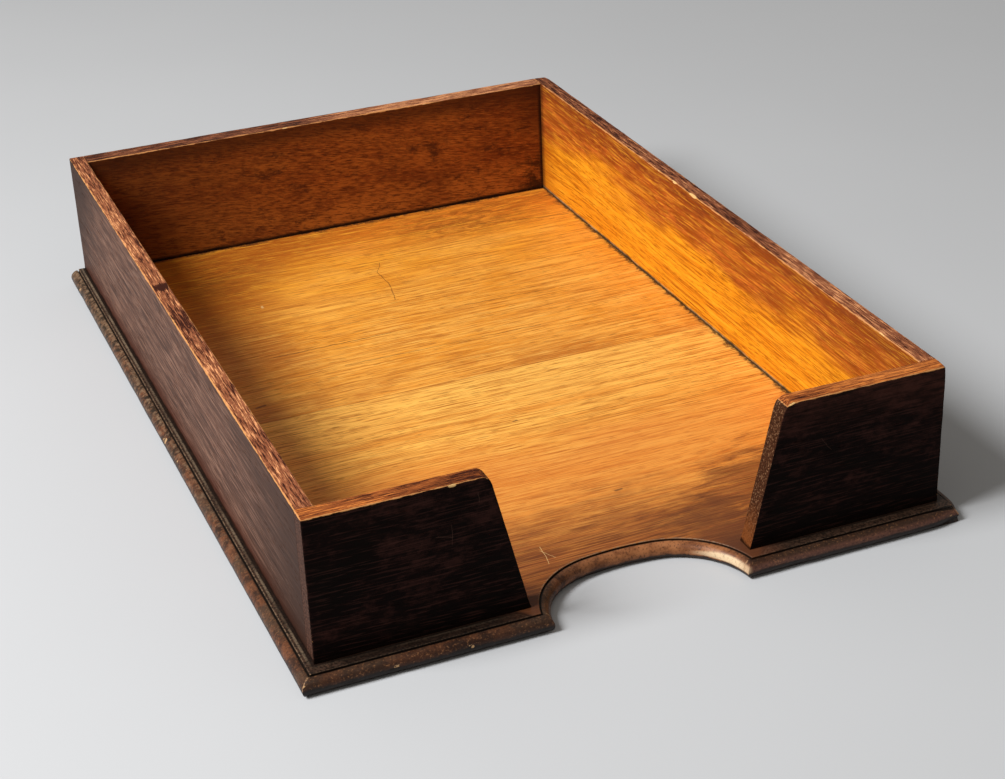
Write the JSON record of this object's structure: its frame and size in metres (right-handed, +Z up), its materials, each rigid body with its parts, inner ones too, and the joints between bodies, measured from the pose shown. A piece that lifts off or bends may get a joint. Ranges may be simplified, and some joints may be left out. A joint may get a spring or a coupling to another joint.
{
  "type": "filing tray",
  "caption": "Shallow open-fronted wooden tray for papers, with three walls, sloping front returns, a moulded base edge and an arched finger cut-out.",
  "frame": {"origin": "on the underside of the base, in the middle of the tray's width and depth", "axes": "+Z up, -Y towards the open front with the finger cut-out, +Y towards the back, +X to the right as seen from the front"},
  "size_m": [0.2706, 0.3888, 0.066],
  "materials": {
    "base_wood": "worn wax polish over a golden brown stain",
    "case_wood": "worn wax polish over a dark red-brown stain",
    "brad_iron": "dull, darkened with age"
  },
  "bodies": {
    "root": {"front_base_board": "base_wood", "rear_base_board": "base_wood", "left_side": "case_wood", "right_side": "case_wood", "back": "case_wood", "left_front_return": "case_wood", "right_front_return": "case_wood", "left_side_brads": "brad_iron", "right_side_brads": "brad_iron", "back_brads": "brad_iron", "left_return_brads": "brad_iron", "right_return_brads": "brad_iron", "left_front_corner_brads": "brad_iron", "right_front_corner_brads": "brad_iron", "left_rear_corner_brads": "brad_iron", "right_rear_corner_brads": "brad_iron"}
  },
  "joints": []
}
